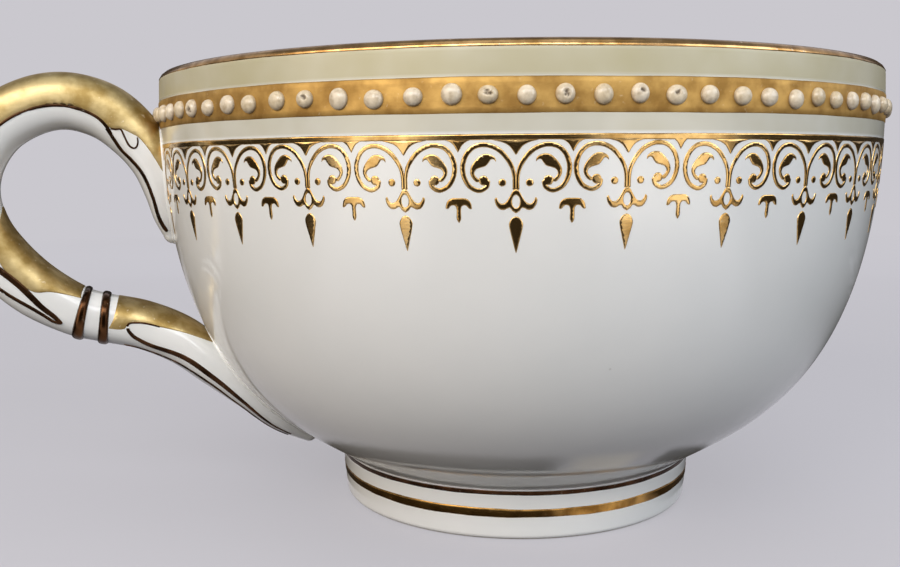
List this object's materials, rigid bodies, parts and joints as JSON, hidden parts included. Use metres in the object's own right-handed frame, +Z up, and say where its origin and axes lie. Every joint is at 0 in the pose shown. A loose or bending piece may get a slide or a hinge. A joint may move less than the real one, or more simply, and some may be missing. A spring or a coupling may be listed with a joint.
{
  "type": "footed teacup",
  "caption": "Round-bellied porcelain teacup on a foot ring, with a loop handle, a gilt scroll border and a gilt band of raised enamel beads; holds a hot drink.",
  "frame": {"origin": "centre of the foot ring, on the plane that it stands on", "axes": "+Z up along the axis of the bowl; the handle points along -X"},
  "size_m": [0.1186, 0.0942, 0.0555],
  "materials": {
    "porcelain": "clear glossy glaze over white porcelain",
    "slip": "fired slip under the glaze",
    "gilding": "burnished gold, worn",
    "enamel": "raised cream enamel"
  },
  "bodies": {
    "root": {"bowl": "porcelain", "foot_ring": "porcelain", "handle": "porcelain", "foot_slip_joint": "slip", "upper_slip_joint": "slip", "lower_slip_joint": "slip", "gilt_rim_line": "gilding", "gilt_bead_band": "gilding", "enamel_beads": "enamel", "gilt_border_line": "gilding", "gilt_darts": "gilding", "gilt_scrolls": "gilding", "gilt_leaves": "gilding", "gilt_dots": "gilding", "gilt_fleurons": "gilding", "gilt_spear_drops": "gilding", "gilt_tassel_drops": "gilding", "gilt_foot_upper_line": "gilding", "gilt_foot_lower_line": "gilding", "gilt_handle_arch": "gilding", "gilt_handle_lower_arm": "gilding", "gilt_handle_collars": "gilding", "gilt_handle_root_top": "gilding", "gilt_upper_leaf_edges": "gilding", "gilt_lower_leaf_edges": "gilding"}
  },
  "joints": []
}
